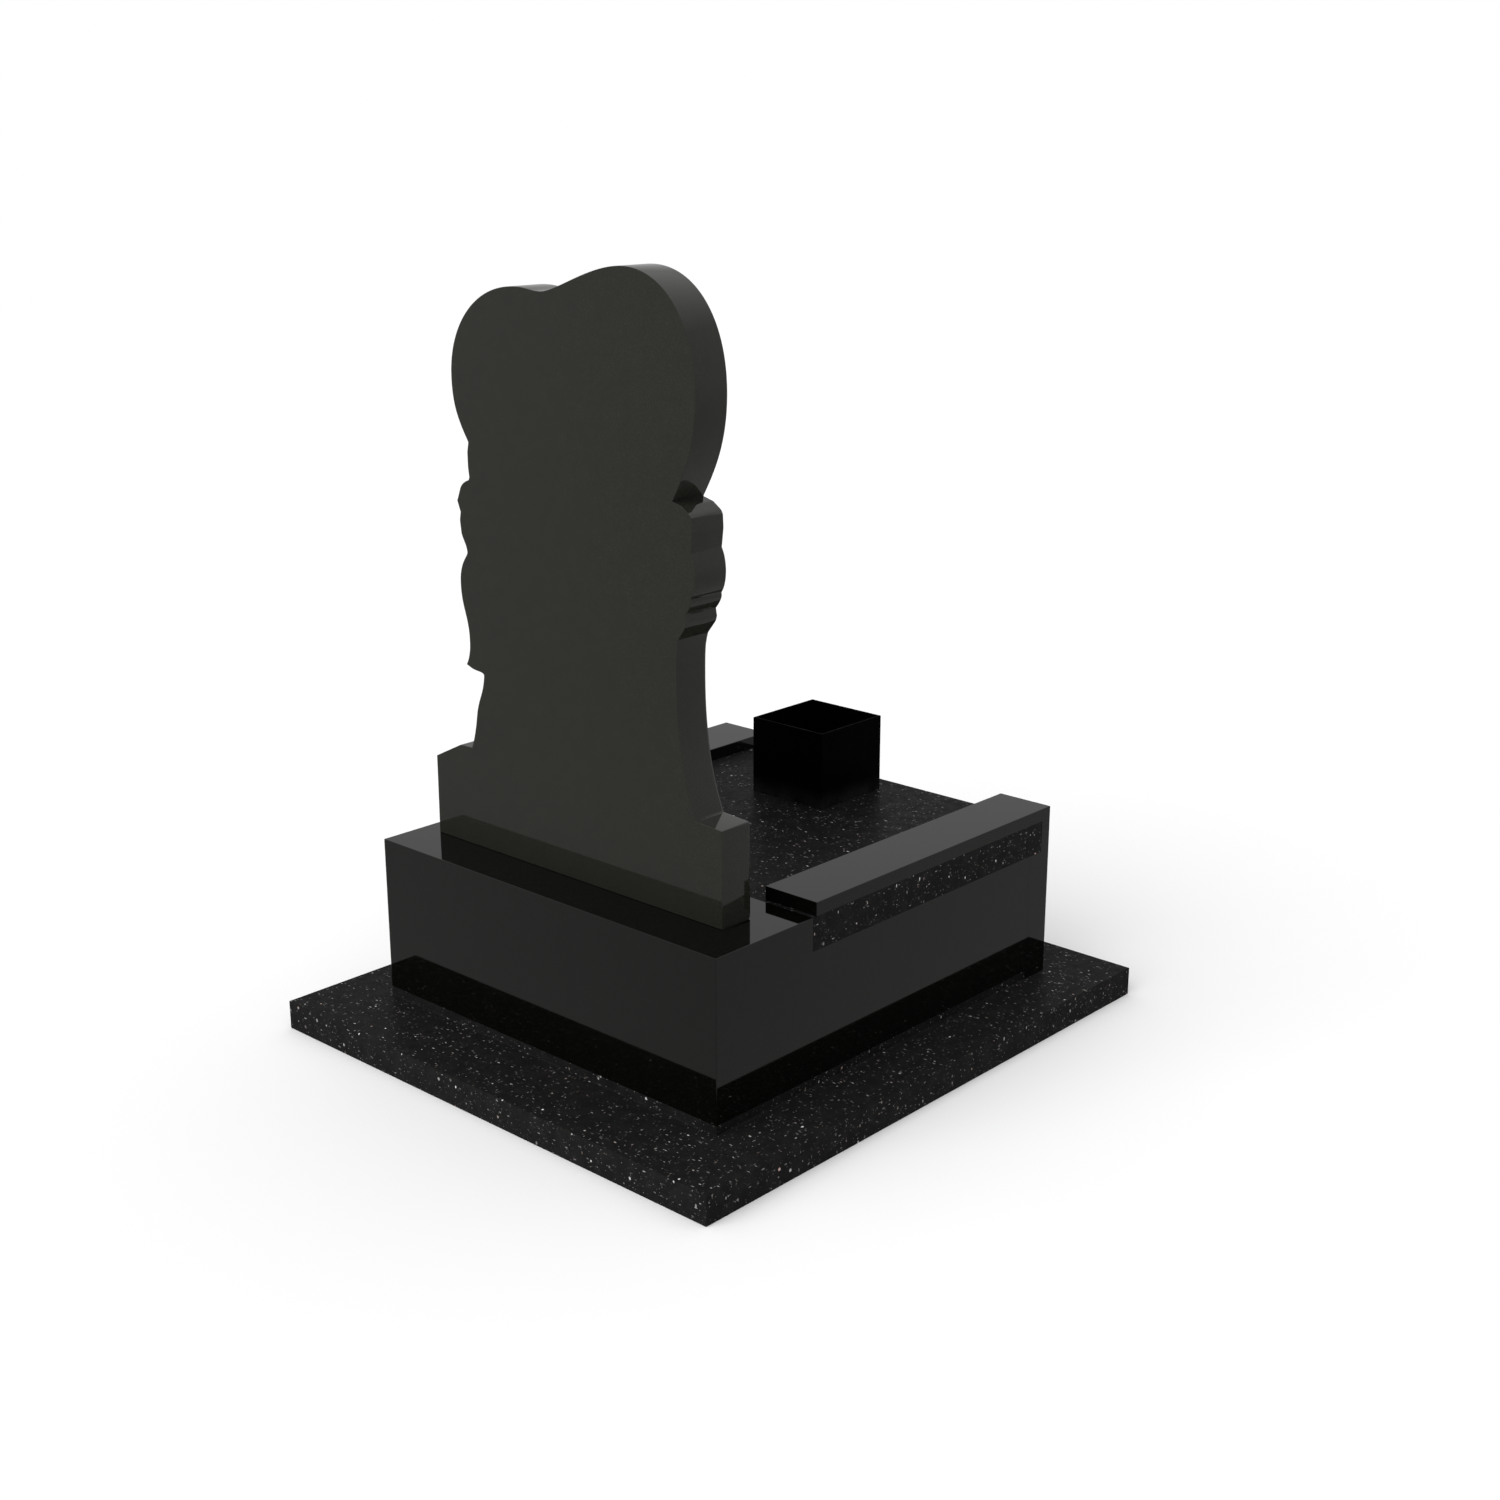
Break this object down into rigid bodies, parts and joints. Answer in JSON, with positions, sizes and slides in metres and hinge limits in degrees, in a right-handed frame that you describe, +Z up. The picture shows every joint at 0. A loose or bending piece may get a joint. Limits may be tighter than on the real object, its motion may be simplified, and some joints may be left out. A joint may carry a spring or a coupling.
{
  "type": "heart headstone",
  "caption": "Black granite grave memorial: heart-topped headstone with carved rose and leaf sides on a box surround with cover slab, kerb bars, flower box and foundation slab.",
  "frame": {"origin": "middle of the foundation slab's underside, on the ground", "axes": "+Z up; the carved front looks along -Y, the plain back along +Y; +X is to the right for someone who reads the front"},
  "size_m": [0.898, 0.997, 1.1792],
  "materials": {
    "speckled_granite_base": "honed dark granite with fine light and brown specks",
    "polished_granite_plinth": "mirror-polished black granite",
    "polished_granite_panel": "mirror-polished black granite",
    "speckled_granite_cover": "honed dark granite with fine light and brown specks",
    "polished_granite_kerb": "mirror-polished black granite",
    "polished_granite_headstone": "mirror-polished black granite",
    "matt_black_coating": "matt deep black coated sheet"
  },
  "bodies": {
    "root": {"foundation_slab": "speckled_granite_base", "plinth_body": "polished_granite_plinth", "front_panel": "polished_granite_panel", "cover_slab": "speckled_granite_cover", "kerb_left": "polished_granite_kerb", "kerb_right": "polished_granite_kerb", "headstone": "polished_granite_headstone", "flower_box": "matt_black_coating"}
  },
  "joints": []
}
